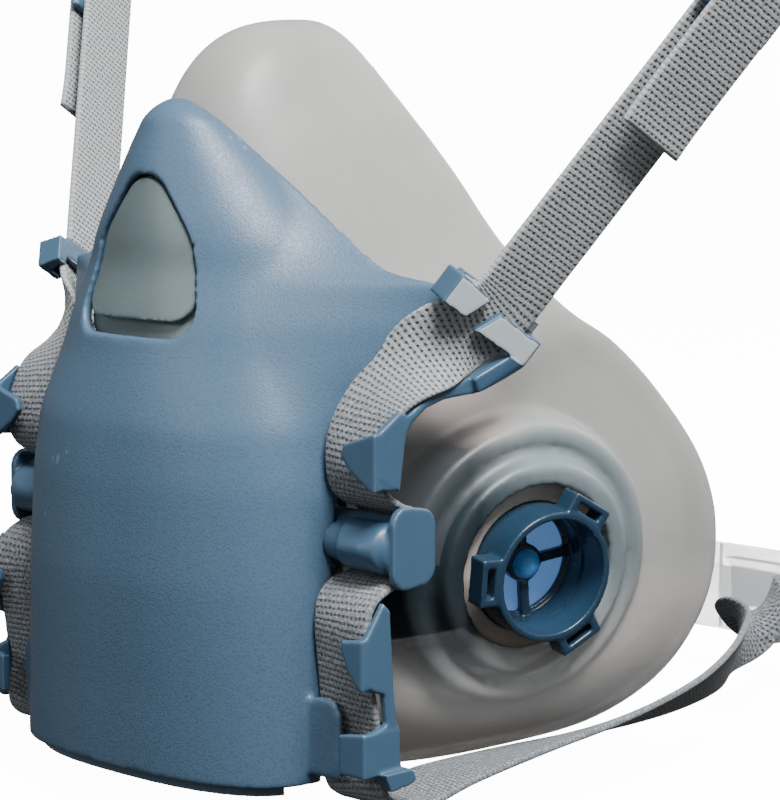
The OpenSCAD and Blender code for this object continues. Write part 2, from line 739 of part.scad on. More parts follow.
face_seal();
front_cover();
window_pad();
center_adapter();
exhalation_seat();
exhalation_flap();
strap_guide();  // strap_guide_left
mirror([1, 0, 0]) strap_guide();  // strap_guide_right
filter_port();  // filter_port_left
mirror([1, 0, 0]) filter_port();  // filter_port_right
port_gasket();  // port_gasket_left
mirror([1, 0, 0]) port_gasket();  // port_gasket_right
valve_post();  // valve_post_left
mirror([1, 0, 0]) valve_post();  // valve_post_right
inhalation_flap();  // inhalation_flap_left
mirror([1, 0, 0]) inhalation_flap();  // inhalation_flap_right
strap();  // strap_left
mirror([1, 0, 0]) strap();  // strap_right
crown_cradle();
neck_clasp_catch();
neck_clasp_hook();
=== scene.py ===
# Looks of the half-mask respirator, in metres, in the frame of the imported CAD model.
# Shapes are worked out in millimetres and scaled when a mesh is made.
import math

import bmesh
import bpy
import numpy as np
from mathutils import Matrix, Vector


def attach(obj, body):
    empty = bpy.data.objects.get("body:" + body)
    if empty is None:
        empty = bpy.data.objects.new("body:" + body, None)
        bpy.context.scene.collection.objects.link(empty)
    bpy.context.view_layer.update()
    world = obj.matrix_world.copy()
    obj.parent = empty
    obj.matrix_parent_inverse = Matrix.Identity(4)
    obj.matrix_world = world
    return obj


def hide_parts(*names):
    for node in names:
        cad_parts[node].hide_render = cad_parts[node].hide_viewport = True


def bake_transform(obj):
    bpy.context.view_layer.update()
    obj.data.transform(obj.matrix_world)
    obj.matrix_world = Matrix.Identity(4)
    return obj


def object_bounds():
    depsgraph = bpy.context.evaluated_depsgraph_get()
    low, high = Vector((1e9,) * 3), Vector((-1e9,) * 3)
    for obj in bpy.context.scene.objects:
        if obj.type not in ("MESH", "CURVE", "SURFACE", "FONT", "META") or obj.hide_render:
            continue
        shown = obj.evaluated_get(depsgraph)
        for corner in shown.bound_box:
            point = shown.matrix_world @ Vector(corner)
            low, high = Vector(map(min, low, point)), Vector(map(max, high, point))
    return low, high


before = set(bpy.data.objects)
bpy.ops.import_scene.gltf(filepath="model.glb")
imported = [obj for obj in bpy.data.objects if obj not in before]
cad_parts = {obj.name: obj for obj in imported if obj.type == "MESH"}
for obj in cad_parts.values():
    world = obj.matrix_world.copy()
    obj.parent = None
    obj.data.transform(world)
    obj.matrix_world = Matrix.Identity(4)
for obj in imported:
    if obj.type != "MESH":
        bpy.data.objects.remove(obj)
cad_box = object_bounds()

MM = 0.001
SIDES = (("left", 1), ("right", -1))

# ---------- camera, light and floor ----------

CAMERA_AT = Vector((0, -0.015, 0))
CAMERA_AZIMUTH = math.radians(45)
CAMERA_ELEVATION = math.radians(7)
CAMERA_DISTANCE = 0.577
CAMERA_LENS = 135
CAMERA_SENSOR = 36

# Strength of the room's light from above and from below, and the heights between which
# it changes. WHITE is what the camera sees of the room.
ROOM_LIGHT = 0.42
LOW_LIGHT = 0.1
ROOM_HIGH = 0.6
ROOM_LOW = -0.5
WHITE = 14.0
FLOOR_GLOW = WHITE - 0.8
FLOOR_GREY = 0.9
FLOOR_SIZE = 8

# Name, place, what it points at, size and power of each soft box.
LIGHTS = [
    ("key", (0.55, -0.25, 0.85), (0, -0.03, 0.03), 0.4, 33),
    ("front", (-0.25, -0.95, 0.35), (0, -0.03, 0), 0.5, 2.5),
    ("back", (0.1, 0.7, 0.5), (0, 0, 0.05), 0.6, 5),
]


def aimed(obj, at):
    """Turns obj so that it looks at a point, and puts it in the scene."""
    obj.rotation_mode = "QUATERNION"
    obj.rotation_quaternion = (Vector(at) - obj.location).to_track_quat("-Z", "Y")
    bpy.context.scene.collection.objects.link(obj)
    return obj


def make_camera():
    """45 degrees round from the front and 7 degrees above."""
    back = Vector((
        math.sin(CAMERA_AZIMUTH) * math.cos(CAMERA_ELEVATION),
        -math.cos(CAMERA_AZIMUTH) * math.cos(CAMERA_ELEVATION),
        math.sin(CAMERA_ELEVATION),
    ))
    camera = bpy.data.objects.new("camera", bpy.data.cameras.new("camera"))
    camera.location = CAMERA_AT + back * CAMERA_DISTANCE
    camera.data.sensor_width = CAMERA_SENSOR
    camera.data.lens = CAMERA_LENS
    bpy.context.scene.camera = aimed(camera, CAMERA_AT)


def make_light(name, place, at, size, power):
    """A square soft box."""
    light = bpy.data.objects.new(name, bpy.data.lights.new(name, "AREA"))
    light.data.size = size
    light.data.energy = power
    light.location = place
    aimed(light, at)


def make_studio():
    """A soft room light, three boxes, and white behind the object."""
    world = bpy.data.worlds.new("studio")
    world.use_nodes = True
    nodes, links = world.node_tree.nodes, world.node_tree.links
    background = nodes["Background"]
    background.inputs["Color"].default_value = (1, 1, 1, 1)
    split = nodes.new("ShaderNodeSeparateXYZ")
    links.new(nodes.new("ShaderNodeTexCoord").outputs["Generated"], split.inputs[0])
    room = nodes.new("ShaderNodeMapRange")
    for target, value in zip(list(room.inputs)[1:5], (ROOM_LOW, ROOM_HIGH, LOW_LIGHT, ROOM_LIGHT)):
        target.default_value = value
    links.new(split.outputs["Z"], room.inputs["Value"])
    path = nodes.new("ShaderNodeLightPath")
    strength = nodes.new("ShaderNodeMapRange")
    links.new(room.outputs[0], strength.inputs["To Min"])
    strength.inputs["To Max"].default_value = WHITE
    links.new(path.outputs["Is Camera Ray"], strength.inputs["Value"])
    links.new(strength.outputs[0], background.inputs["Strength"])
    bpy.context.scene.world = world
    for light in LIGHTS:
        make_light(*light)


def make_floor(z):
    """A plain white floor that lights nothing above it."""
    bpy.ops.mesh.primitive_plane_add(size=FLOOR_SIZE, location=(0, 0, z))
    floor = bpy.context.object
    floor.name = "floor"
    floor.visible_diffuse = False
    floor.visible_glossy = False
    material, shader = new_material("floor_white")
    shader.inputs["Base Color"].default_value = (FLOOR_GREY, FLOOR_GREY, FLOOR_GREY, 1)
    shader.inputs["Roughness"].default_value = 0.9
    shader.inputs["Emission Color"].default_value = (1, 1, 1, 1)
    shader.inputs["Emission Strength"].default_value = FLOOR_GLOW
    floor.data.materials.append(material)


# ---------- colours ----------


def srgb(r, g, b):
    """A linear colour from the usual 0 to 255 values."""
    def lin(c):
        c /= 255
        return c / 12.92 if c <= 0.04045 else ((c + 0.055) / 1.055) ** 2.4
    return lin(r), lin(g), lin(b)


# Where there are two colours, the guides, adapter, ports, posts and cradle have the second on
# their worn edges, lightened as a painted highlight, and the rest drift between the two.
COVER_COLOURS = (srgb(52, 78, 101), srgb(60, 86, 109))
COVER_PAINTED_SHADE = srgb(32, 54, 76)
COVER_WORN_HIGHLIGHT = srgb(112, 136, 152)
COVER_PORE = srgb(108, 132, 150)
GUIDE_COLOURS = (srgb(50, 76, 98), srgb(120, 144, 160))
TAB_PAINTED_LIGHT = srgb(206, 216, 223)
ADAPTER_COLOURS = (srgb(40, 60, 78), srgb(76, 98, 116))
PORT_COLOURS = (srgb(26, 48, 66), srgb(92, 120, 136))
POST_COLOURS = (srgb(82, 168, 244), srgb(140, 200, 250))
CRADLE_COLOURS = (srgb(58, 84, 106), srgb(128, 150, 164))
SEAL_COLOURS = (srgb(150, 149, 146), srgb(142, 142, 140))
SEAL_WARM_PAINTED_LIGHT = srgb(232, 214, 204)
SEAL_BLUE = srgb(86, 105, 113)
SEAL_PAINTED_LIGHT_LOW = srgb(226, 221, 216)
SEAL_SHADE = srgb(22, 33, 41)
WINDOW_COLOURS = (srgb(94, 109, 112), srgb(84, 98, 101))
GASKET_COLOURS = (srgb(186, 176, 168), srgb(166, 157, 150))
INHALE_BLUE = srgb(112, 160, 226)
EXHALE_CREAM = srgb(196, 190, 172)
CLASP_COLOURS = (srgb(236, 238, 240), srgb(222, 226, 230))
WEBBING_COLOURS = (srgb(122, 127, 129), srgb(178, 182, 183))
WEBBING_GAP_AND_SHADE = srgb(34, 38, 42)
LOOP_DARK = srgb(70, 76, 84)
LOOP_FLECK = srgb(160, 165, 170)

# ---------- material tools ----------


def new_material(name):
    material = bpy.data.materials.new(name)
    material.use_nodes = True
    return material, material.node_tree.nodes["Principled BSDF"]


class Nodes:
    """Short ways to add nodes to a material."""

    def __init__(self, material):
        self.tree = material.node_tree
        self.shader = self.tree.nodes["Principled BSDF"]
        self.place = self.add("ShaderNodeTexCoord").outputs["Object"]

    def add(self, kind, **settings):
        node = self.tree.nodes.new(kind)
        for key, value in settings.items():
            setattr(node, key, value)
        return node

    def link(self, source, target):
        self.tree.links.new(source, target)

    def feed(self, value, target):
        """Links an output to a socket, or sets the socket to a number or a colour."""
        if isinstance(value, bpy.types.NodeSocket):
            self.link(value, target)
        else:
            target.default_value = value

    def math(self, operation, a, b=0.0):
        node = self.add("ShaderNodeMath", operation=operation)
        self.feed(a, node.inputs[0])
        self.feed(b, node.inputs[1])
        return node.outputs[0]

    def noise(self, size, detail=2.0, rough=0.5):
        """Noise whose features are about size millimetres across."""
        node = self.add("ShaderNodeTexNoise")
        node.inputs["Scale"].default_value = 1 / (size * MM)
        node.inputs["Detail"].default_value = detail
        node.inputs["Roughness"].default_value = rough
        self.link(self.place, node.inputs["Vector"])
        return node.outputs["Fac"]

    def uneven(self, size, detail, low, high):
        """A value that drifts between low and high over patches of size millimetres."""
        return self.span(self.noise(size, detail), 0.3, 0.7, low, high)

    def cells(self, size):
        """Cells about size millimetres across."""
        node = self.add("ShaderNodeTexVoronoi")
        node.inputs["Scale"].default_value = 1 / (size * MM)
        self.link(self.place, node.inputs["Vector"])
        return node.outputs["Distance"]

    def split(self, vector):
        """The X, Y and Z of a vector."""
        node = self.add("ShaderNodeSeparateXYZ")
        self.link(vector, node.inputs[0])
        return tuple(node.outputs)

    def folded(self, vector):
        """A vector with its X made positive, so that both sides of the mask are alike."""
        x, y, z = self.split(vector)
        node = self.add("ShaderNodeCombineXYZ")
        for value, target in zip((self.math("ABSOLUTE", x), y, z), node.inputs):
            self.link(value, target)
        return node.outputs[0]

    def measure(self, operation, vector, fixed):
        """A number from a vector and a fixed one, such as their distance."""
        node = self.add("ShaderNodeVectorMath", operation=operation)
        self.link(vector, node.inputs[0])
        node.inputs[1].default_value = fixed
        return node.outputs["Value"]

    def mix(self, share, a, b):
        """A colour between a and b."""
        node = self.add("ShaderNodeMix", data_type="RGBA")
        for value, target in zip((share, a, b), (node.inputs[0], node.inputs[6], node.inputs[7])):
            self.feed((*value, 1) if isinstance(value, tuple) else value, target)
        return node.outputs[2]

    def tint(self, base, colour, share, strength):
        """base with colour over it: strength of it where share is 1, none where it is 0."""
        return self.mix(self.math("MULTIPLY", share, strength), base, colour)

    def span(self, value, low, high, to_low=0.0, to_high=1.0):
        """value's range from low to high, spread over another range."""
        node = self.add("ShaderNodeMapRange")
        for target, x in zip(node.inputs, (value, low, high, to_low, to_high)):
            self.feed(x, target)
        return node.outputs[0]

    def edges(self, low, high):
        """1 on sharp outer edges and 0 elsewhere."""
        return self.span(self.add("ShaderNodeNewGeometry").outputs["Pointiness"], low, high)

    def bump(self, height, depth, strength=1.0):
        """depth is in millimetres."""
        node = self.add("ShaderNodeBump")
        node.inputs["Distance"].default_value = depth * MM
        node.inputs["Strength"].default_value = strength
        self.link(height, node.inputs["Height"])
        self.link(node.outputs["Normal"], self.shader.inputs["Normal"])

    def set(self, **values):
        """Feeds the shader's sockets, such as Base_Color=..."""
        for key, value in values.items():
            value = (*value, 1) if isinstance(value, tuple) else value
            self.feed(value, self.shader.inputs[key.replace("_", " ")])

    def see_through(self, share):
        """Lets a share of the light straight through."""
        clear = self.add("ShaderNodeBsdfTransparent")
        both = self.add("ShaderNodeMixShader")
        self.feed(share, both.inputs[0])
        self.link(self.shader.outputs[0], both.inputs[1])
        self.link(clear.outputs[0], both.inputs[2])
        self.link(both.outputs[0], self.tree.nodes["Material Output"].inputs["Surface"])


# ---------- materials ----------


def leather_grain_plastic():
    """The cover's blue plastic, with painted shade low down, worn edges lightened by a painted highlight,
    and a fine pebbled grain.
    """
    material, _ = new_material("cover_blue")
    n = Nodes(material)
    base = n.mix(n.noise(30, 3), *COVER_COLOURS)
    # Painted shade: the colour darkens towards the bottom, where less light falls.
    low = n.span(n.split(n.place)[2], -5 * MM, -58 * MM)
    base = n.tint(base, COVER_PAINTED_SHADE, low, 0.5)
    # Worn edges with a painted highlight: the pointy edges are lightened.
    base = n.tint(base, COVER_WORN_HIGHLIGHT, n.edges(0.55, 0.64), 0.45)
    pores = n.span(n.cells(0.5), 0.0, 0.55)
    base = n.tint(base, COVER_PORE, pores, 0.16)
    n.set(Base_Color=base, Roughness=n.uneven(0.5, 2, 0.4, 0.52), Specular_IOR_Level=0.42)
    height = n.math("ADD", n.math("MULTIPLY", pores, 0.75), n.math("MULTIPLY", n.noise(1.4, 3), 0.6))
    n.bump(height, 0.05, 0.6)
    return material


def moulded_plastic(name, colour, worn_highlight, rough=0.3):
    """Smooth moulded plastic with slightly worn edges, lightened by a painted highlight."""
    material, _ = new_material(name)
    n = Nodes(material)
    base = n.mix(n.noise(14, 3), colour, tuple(c * 1.16 for c in colour))
    # Worn edges with a painted highlight: the pointy edges take the lighter colour.
    base = n.tint(base, worn_highlight, n.edges(0.53, 0.62), 0.7)
    n.set(Base_Color=base, Roughness=n.uneven(3, 4, rough - 0.05, rough + 0.07))
    n.bump(n.noise(0.6, 2), 0.02)
    return material


def guide_plastic():
    """The guides' plastic, with painted light on the faces of the two tabs over the webbing."""
    material = moulded_plastic("guide_blue", *GUIDE_COLOURS, rough=0.42)
    n = Nodes(material)
    base = n.shader.inputs["Base Color"].links[0].from_socket
    normal = n.add("ShaderNodeTexCoord").outputs["Normal"]
    facing = n.measure("DOT_PRODUCT", n.folded(normal), RUN_OUT)
    up_run = n.measure("DOT_PRODUCT", n.folded(n.place), RUN_ALONG)
    tabs_end = (RUN_AT @ RUN_ALONG - TABS_BELOW) * MM
    on_tabs = n.span(up_run, tabs_end, tabs_end + 0.2 * MM)
    # Painted light: the tab faces turned outwards from the run are made pale.
    tab = n.math("MULTIPLY", n.span(facing, 0.93, 0.985), on_tabs)
    n.set(Base_Color=n.tint(base, TAB_PAINTED_LIGHT, tab, 0.95))
    return material


def soft_silicone(name, colours, rough, clear, milky=0.35):
    """Translucent silicone: it scatters light inside and lets some through."""
    material, _ = new_material(name)
    n = Nodes(material)
    base = n.mix(n.span(n.noise(35, 3), 0.35, 0.65), *colours)
    n.set(Base_Color=base, Roughness=n.uneven(6, 3, rough - 0.05, rough + 0.06))
    n.set(IOR=1.41, Subsurface_Weight=milky, Subsurface_Scale=4 * MM)
    n.shader.inputs["Subsurface Radius"].default_value = (1.0, 0.9, 0.8)
    n.bump(n.noise(0.8, 2), 0.03)
    n.see_through(clear)
    return material


def seal_silicone():
    """The seal's silicone: bluish round the ports, warm above them with painted light where the guide's
    shadow falls, painted light low down, and painted shade in front of the ports, where dark parts lie
    behind it."""
    material = soft_silicone("seal_silicone", SEAL_COLOURS, 0.42, 0.05)
    n = Nodes(material)
    base = n.shader.inputs["Base Color"].links[0].from_socket
    beside = n.folded(n.place)
    _, y, z = n.split(n.place)

    def near(place, full, none):
        """1 within full millimetres of a place on either side, and 0 beyond none."""
        away = n.measure("DISTANCE", beside, [c * MM for c in place])
        return n.span(away, full * MM, none * MM, 1.0, 0.0)

    # Painted light: a warm pale patch above the ports, lightened where the guide's shadow falls.
    base = n.tint(base, SEAL_WARM_PAINTED_LIGHT, near(WARM_PAINTED_LIGHT_PLACE, 3, 15), 0.9)
    base = n.tint(base, SEAL_BLUE, near(PORT_MOUTH, 25, 29), 0.75)
    # Painted light: paler towards the bottom, standing in for light that comes through the silicone there.
    base = n.tint(base, SEAL_PAINTED_LIGHT_LOW, n.span(z, -26 * MM, -54 * MM), 0.7)
    # Painted shade: a dark zone in front of the ports, between their top and bottom.
    front = n.span(y, -34 * MM, -44 * MM)
    below_top = n.span(z, 3 * MM, -2 * MM)
    above_bottom = n.span(z, -46 * MM, -37 * MM)
    painted_shade_zone = n.math("MULTIPLY", front, n.math("MULTIPLY", below_top, above_bottom))
    n.set(Base_Color=n.tint(base, SEAL_SHADE, painted_shade_zone, 0.95))
    return material


def thin_film(name, colour, clear=0.15, painted_glow=0.0):
    """A valve's thin disc. Its glow is painted light, brightening the disc where it sits in shade."""
    material, _ = new_material(name)
    n = Nodes(material)
    base = n.mix(n.noise(6, 2), colour, tuple(c * 0.85 for c in colour))
    n.set(Base_Color=base, Roughness=0.25, Emission_Color=colour, Emission_Strength=painted_glow)
    n.bump(n.noise(2.5, 3), 0.05)
    n.see_through(clear)
    return material


def clear_plastic(name):
    """Clear moulded plastic with a little haze and flow marks."""
    material, _ = new_material(name)
    n = Nodes(material)
    base = n.mix(n.noise(8, 3), *CLASP_COLOURS)
    n.set(Base_Color=base, Roughness=n.uneven(5, 3, 0.12, 0.24), IOR=1.49)
    n.bump(n.noise(7, 2), 0.08)
    n.see_through(n.math("SUBTRACT", 0.74, n.math("MULTIPLY", n.edges(0.5, 0.6), 0.4)))
    return material


def woven_webbing():
    """Grey elastic webbing: yarns across it, with painted shade in the grooves between rows and small
    gaps between them that change places from row to row. U and V of the mesh are millimetres across and
    along it."""
    material, _ = new_material("webbing_grey")
    n = Nodes(material)
    across, along, _ = n.split(n.add("ShaderNodeUVMap", uv_map="weave").outputs[0])
    fine = n.span(along, WEAVE_CHANGE - 4, WEAVE_CHANGE + 4)
    pitch = n.math("SUBTRACT", ROW_PITCH, n.math("MULTIPLY", fine, FINE_LESS))
    wavy = n.math("MULTIPLY", n.noise(1.6, 2), 0.5)
    row = n.math("DIVIDE", n.math("ADD", along, wavy), pitch)
    between = n.math("ABSOLUTE", n.math("SINE", n.math("MULTIPLY", row, math.pi)))
    seam = n.span(between, 0.86, 0.3)
    odd = n.math("MODULO", n.math("FLOOR", n.math("ADD", row, 0.5)), 2.0)
    yarn = n.math("ADD", n.math("DIVIDE", across, YARN_PITCH), n.math("MULTIPLY", odd, 0.5))
    gap = n.span(n.math("SINE", n.math("MULTIPLY", yarn, 2 * math.pi)), -0.1, 0.8)
    from_middle = n.math("ABSOLUTE", n.math("SUBTRACT", across, WEBBING_W / 2))
    inside = n.span(from_middle, WEBBING_W / 2 - 0.35, WEBBING_W / 2 - 0.6)
    hole = n.math("MULTIPLY", n.math("MULTIPLY", seam, gap), inside)
    fuzz = n.noise(0.32, 3, 0.6)
    base = n.mix(n.span(fuzz, 0.3, 0.7), *WEBBING_COLOURS)
    looped = n.span(along, LOOPS_FROM, LOOPS_FROM + 18)
    base = n.tint(base, LOOP_DARK, looped, 0.72)
    fleck = n.math("MULTIPLY", looped, n.span(n.noise(0.55, 2), 0.46, 0.6))
    base = n.tint(base, LOOP_FLECK, fleck, 0.5)
    # Painted shade in the grooves between yarn rows; the next line darkens the weave's gaps.
    base = n.tint(base, WEBBING_GAP_AND_SHADE, seam, 0.34)
    base = n.tint(base, WEBBING_GAP_AND_SHADE, hole, 0.8)
    n.set(Base_Color=base, Roughness=0.85, Sheen_Weight=0.15, Specular_IOR_Level=0.2)
    dip = n.math("ADD", n.math("MULTIPLY", hole, 0.8), n.math("MULTIPLY", seam, 0.22))
    n.bump(n.math("SUBTRACT", n.math("MULTIPLY", fuzz, 0.5), dip), 0.28, 0.9)
    return material


# ---------- shape tools ----------


def curve(rows, steps, closed=False):
    """A smooth curve through the rows of a table, in steps points a span."""
    rows = np.array(rows, float)
    count = len(rows)
    last = count if closed else count - 1
    t = (np.arange(steps) / steps)[:, None]
    spans = []
    for i in range(last):
        at = [(i + k) % count if closed else min(max(i + k, 0), count - 1) for k in (-1, 0, 1, 2)]
        p0, p1, p2, p3 = rows[at]
        spans.append(0.5 * (
            2 * p1 + (p2 - p0) * t + (2 * p0 - 5 * p1 + 4 * p2 - p3) * t ** 2
            + (3 * p1 - p0 - 3 * p2 + p3) * t ** 3
        ))
    if not closed:
        spans.append(rows[-1:])
    return np.concatenate(spans)


def unit(v):
    """A vector, or each row of a table, at length 1."""
    v = np.asarray(v, float)
    return v / np.linalg.norm(v, axis=-1, keepdims=True)


def mesh_object(name, points, faces):
    """An object from points in millimetres."""
    mesh = bpy.data.meshes.new(name)
    mesh.from_pydata([tuple(p) for p in np.asarray(points, float) * MM], [], faces)
    shape = bmesh.new()
    shape.from_mesh(mesh)
    bmesh.ops.recalc_face_normals(shape, faces=shape.faces)
    shape.to_mesh(mesh)
    shape.free()
    obj = bpy.data.objects.new(name, mesh)
    bpy.context.scene.collection.objects.link(obj)
    return obj


def loft(name, rings):
    """A closed solid through closed rings of points."""
    rings = np.asarray(rings, float)
    count, n = rings.shape[:2]
    faces = []
    for i in range(count - 1):
        for k in range(n):
            m = (k + 1) % n
            faces.append((i * n + k, i * n + m, (i + 1) * n + m, (i + 1) * n + k))
    hubs = [rings[0].mean(0), rings[-1].mean(0)]
    first, last = count * n, count * n + 1
    for k in range(n):
        m = (k + 1) % n
        faces.append((first, m, k))
        faces.append((last, (count - 1) * n + k, (count - 1) * n + m))
    return mesh_object(name, np.concatenate([rings.reshape(-1, 3), hubs]), faces)


def turned(name, profile, matrix, steps=128):
    """A solid of revolution about Z from (radius, height) points, moved by matrix. The
    first and last points are on the axis, or the profile is a closed ring."""
    profile = np.array(profile, float)
    angles = np.linspace(0, 2 * math.pi, steps, endpoint=False)
    ring = np.stack([np.cos(angles), np.sin(angles)], 1)
    on_axis = profile[0][0] == 0
    rows = profile[1:-1] if on_axis else profile
    points = [np.column_stack([ring * r, np.full(steps, z)]) for r, z in rows]
    faces = []
    spans = len(rows) - 1 if on_axis else len(rows)
    for i in range(spans):
        j = (i + 1) % len(rows)
        for k in range(steps):
            m = (k + 1) % steps
            faces.append((i * steps + k, i * steps + m, j * steps + m, j * steps + k))
    points = np.concatenate(points)
    if on_axis:
        points = np.concatenate([points, [[0, 0, profile[0][1]], [0, 0, profile[-1][1]]]])
        top = len(points) - 2
        for k in range(steps):
            m = (k + 1) % steps
            faces.append((top, m, k))
            faces.append((top + 1, (len(rows) - 1) * steps + k, (len(rows) - 1) * steps + m))
    obj = mesh_object(name, points, faces)
    moved = matrix.copy()
    moved.translation *= MM
    obj.data.transform(moved)
    return obj


def plug(radius, low, high, matrix):
    """A round plug to join to a part or to cut out of it."""
    return turned("plug", [(0, low), (radius, low), (radius, high), (0, high)], matrix)


def baked(obj):
    """Applies obj's modifiers."""
    depsgraph = bpy.context.evaluated_depsgraph_get()
    mesh = bpy.data.meshes.new_from_object(obj.evaluated_get(depsgraph))
    obj.modifiers.clear()
    obj.data = mesh


def boolean(obj, operation, tools):
    """Joins obj with tools or cuts them out of it, and removes them."""
    for tool in tools:
        step = obj.modifiers.new("boolean", "BOOLEAN")
        step.operation = operation
        step.solver = "MANIFOLD"
        step.object = tool
    baked(obj)
    for tool in tools:
        bpy.data.objects.remove(tool)
    return obj


def moulded(obj, voxel, passes):
    """Gives obj an even mesh of voxel millimetres, and rounds it as a mould would."""
    obj.data.transform(Matrix.Scale(1 / MM, 4))
    remesh = obj.modifiers.new("remesh", "REMESH")
    remesh.mode = "VOXEL"
    remesh.voxel_size = voxel
    smooth = obj.modifiers.new("smooth", "SMOOTH")
    smooth.factor = 0.5
    smooth.iterations = passes
    baked(obj)
    obj.data.transform(Matrix.Scale(MM, 4))
    obj.data.shade_smooth()


def mirrored(obj, name):
    """A mirror image of obj across the mask's middle."""
    twin = bpy.data.objects.new(name, obj.data.copy())
    bpy.context.scene.collection.objects.link(twin)
    twin.data.transform(Matrix.Scale(-1, 4, (1, 0, 0)))
    twin.data.flip_normals()
    return twin


def copy_of_node(node, name):
    """A new object with the mesh of a CAD node, its points joined, for a finer finish."""
    obj = bpy.data.objects.new(name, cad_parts[node].data.copy())
    bpy.context.scene.collection.objects.link(obj)
    shape = bmesh.new()
    shape.from_mesh(obj.data)
    bmesh.ops.remove_doubles(shape, verts=shape.verts, dist=0.002 * MM)
    shape.to_mesh(obj.data)
    shape.free()
    return obj


def finish_piece(obj, node, material, body="mask"):
    """Paints obj and lets it stand for a CAD node."""
    obj.data.materials.clear()
    obj.data.materials.append(material)
    obj.data.shade_smooth()
    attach(obj, body)
    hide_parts(node)


# ---------- face seal ----------

# X, Y and Z of the rim's points, and how square the wall's section is at each.
RIM_HALF = [
    [0, -37, 72.6, 3.3], [9, -35.5, 69.5, 3.3], [17, -29.5, 58, 3.1],
    [23.5, -23, 46, 2.9], [31, -17, 32, 2.6], [39, -9, 20.5, 2.4],
    [44.5, -1, 13.5, 2.3], [50, 6, 3.5, 2.2], [54, 13, -9, 2.15],
    [55, 16.5, -22, 2.15], [54, 15, -36, 2.2], [48.5, 10, -49, 2.5],
    [38.5, 3, -58.5, 2.9], [23, -2.5, -65, 3.2], [8, -8, -68, 3.3], [0, -9, -68.5, 3.3],
]
RIM_LEFT = [[-x, y, z, n] for x, y, z, n in RIM_HALF]
RIM = curve(RIM_LEFT + RIM_HALF[-2:0:-1], 6, closed=True)
SEAL_FRONT = 72
SEAL_MID_Z = -8
SEAL_WALL = 2
FLANGE_W = 9

EXHALE_Z = -32
EXHALE_FLAP_Y = -76.3
EXHALE_HOLE_R = 16
EXHALE_SEAT_R = 18.5
EXHALE_RING_R = 20.4

WARM_PAINTED_LIGHT_PLACE = (48, -44, 7)
PORT_MOUTH = (58, -32, -25)
AT_PORT = (
    Matrix.Translation(PORT_MOUTH)
    @ Matrix.Rotation(math.radians(-14.05), 4, "Z")
    @ Matrix.Rotation(math.radians(97), 4, "Y")
    @ Matrix.Rotation(math.radians(90), 4, "Z")
)
MIRROR = Matrix.Scale(-1, 4, (1, 0, 0))
PORT_HOLE_R = 12
RECESS_R = 15.4
RECESS_FLOOR = -9
BOSS_INNER_R = 19.5
BOSS_R = 24.6
BOSS_WALL = 1.8


def rim_away():
    """Directions away from the seal's middle at each of the rim's points, as X and Z."""
    return unit(np.stack([RIM[:, 0], RIM[:, 2] - SEAL_MID_Z], 1))


def wall_ring(angle, grow):
    """A ring of the seal's wall, from the rim at angle 0 to the nose plate at 90."""
    a = math.radians(angle)
    q = math.cos(a) ** (2 / RIM[:, 3])
    f = math.sin(a) ** (2 / RIM[:, 3])
    r = np.stack([RIM[:, 0], RIM[:, 2] - SEAL_MID_Z], 1) + rim_away() * grow
    y = RIM[:, 1] - (SEAL_FRONT + RIM[:, 1] + grow) * f
    return np.stack([r[:, 0] * q, y, SEAL_MID_Z + r[:, 1] * q], 1)


def flange_ring(s, back):
    """A ring of the flange, s in from the rim and back behind it."""
    away = rim_away()
    return np.stack([RIM[:, 0] - away[:, 0] * s, RIM[:, 1] + back, RIM[:, 2] - away[:, 1] * s], 1)


def seal_shell():
    """The seal's wall and flange, without bosses or openings."""
    share = np.linspace(0, 1, 44)
    angles = 89 * (0.5 - 0.5 * np.cos(share * math.pi))
    outer = [wall_ring(a, 0) for a in angles]
    inner = [wall_ring(a, -SEAL_WALL) for a in angles[:0:-1]]
    lip = [
        flange_ring(SEAL_WALL, -0.2), flange_ring(5, 0.6), flange_ring(FLANGE_W, 1.2),
        flange_ring(FLANGE_W + 0.5, 2.1), flange_ring(FLANGE_W, 3), flange_ring(5, 2.5),
        flange_ring(SEAL_WALL, 1.6), flange_ring(0.6, 1),
    ]
    return loft("face_seal_silicone", inner + lip + outer)


BOSS_OUTSIDE = [
    (0, -17), (BOSS_R + 2.5, -17), (BOSS_R + 1.2, -9.6), (BOSS_R + 0.4, -8.7), (BOSS_R - 0.6, -8.4),
    (22.6, -8.2), (22.2, -8.8), (21.4, -8.8), (21, -8.3), (BOSS_INNER_R + 0.8, -8.2),
    (BOSS_INNER_R, -5.8), (BOSS_INNER_R - 0.8, -5), (0, -5),
]


def to_front(y):
    """Where a round part of the exhalation valve starts, with its height forwards."""
    return Matrix.Translation((0, y, EXHALE_Z)) @ Matrix.Rotation(math.radians(90), 4, "X")


def make_face_seal():
    seal = seal_shell()
    ports = (AT_PORT, MIRROR @ AT_PORT)
    joins = [turned("boss", BOSS_OUTSIDE, at) for at in ports]
    joins.append(plug(EXHALE_RING_R, 0, 10.1, to_front(-62)))
    boolean(seal, "UNION", joins)
    cuts = []
    for at in ports:
        cuts.append(plug(BOSS_R - BOSS_WALL, -40, -11.9, at))
        cuts.append(plug(PORT_HOLE_R, -20, 20, at))
        cuts.append(plug(RECESS_R, RECESS_FLOOR, 11, at))
    cuts.append(plug(EXHALE_HOLE_R, 0, 30, to_front(-60)))
    cuts.append(plug(EXHALE_SEAT_R, 0, 9.8, to_front(-60)))
    boolean(seal, "DIFFERENCE", cuts)
    moulded(seal, voxel=0.68, passes=5)
    finish_piece(seal, "face_seal", seal_silicone())


# ---------- front cover and window ----------

